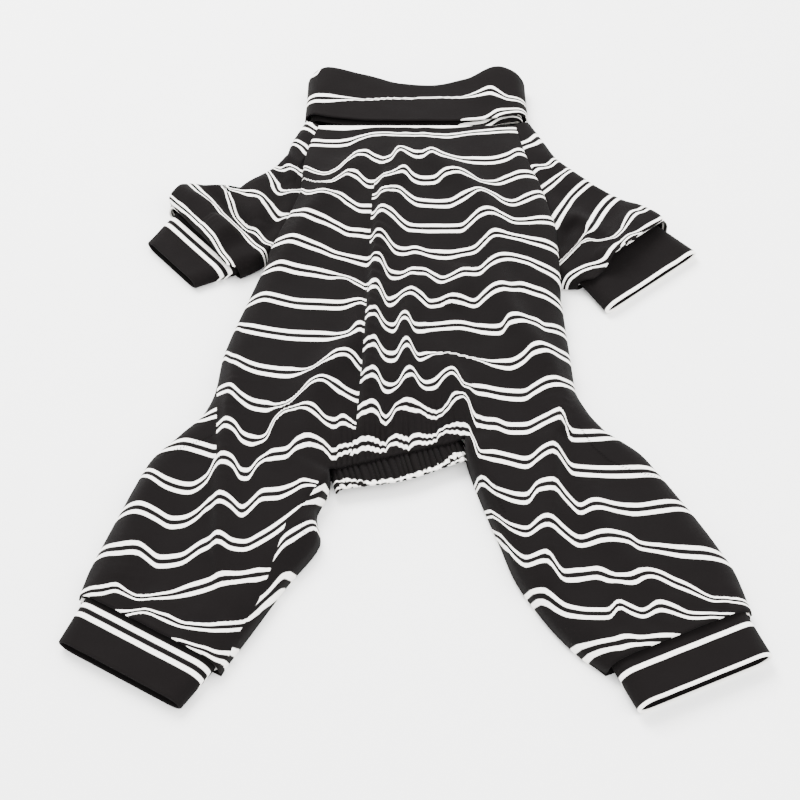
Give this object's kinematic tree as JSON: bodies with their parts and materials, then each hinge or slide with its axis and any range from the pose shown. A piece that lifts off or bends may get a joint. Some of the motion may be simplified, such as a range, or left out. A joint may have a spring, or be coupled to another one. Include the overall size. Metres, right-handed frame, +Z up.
{
  "type": "dog jumpsuit",
  "caption": "Dog jumpsuit laid flat: tubular body with turned-down collar, raglan sleeves, hind legs, band cuffs and a gathered elastic hem round the rear opening.",
  "frame": {"origin": "middle of the laid suit's footprint, on the surface that it lies on", "axes": "+Y from the rear opening towards the neck, +Z up from the surface, +X to the right as the picture shows it"},
  "size_m": [0.3586, 0.468, 0.0318],
  "materials": {
    "body_jersey": "matte",
    "cuff_jersey": "matte"
  },
  "bodies": {
    "root": {"belly_panel": "body_jersey", "back_panel": "body_jersey", "left_sleeve": "body_jersey", "right_sleeve": "body_jersey", "left_front_cuff": "cuff_jersey", "right_front_cuff": "cuff_jersey", "left_hind_cuff": "cuff_jersey", "right_hind_cuff": "cuff_jersey", "collar": "cuff_jersey", "elastic_hem": "cuff_jersey"}
  },
  "joints": []
}
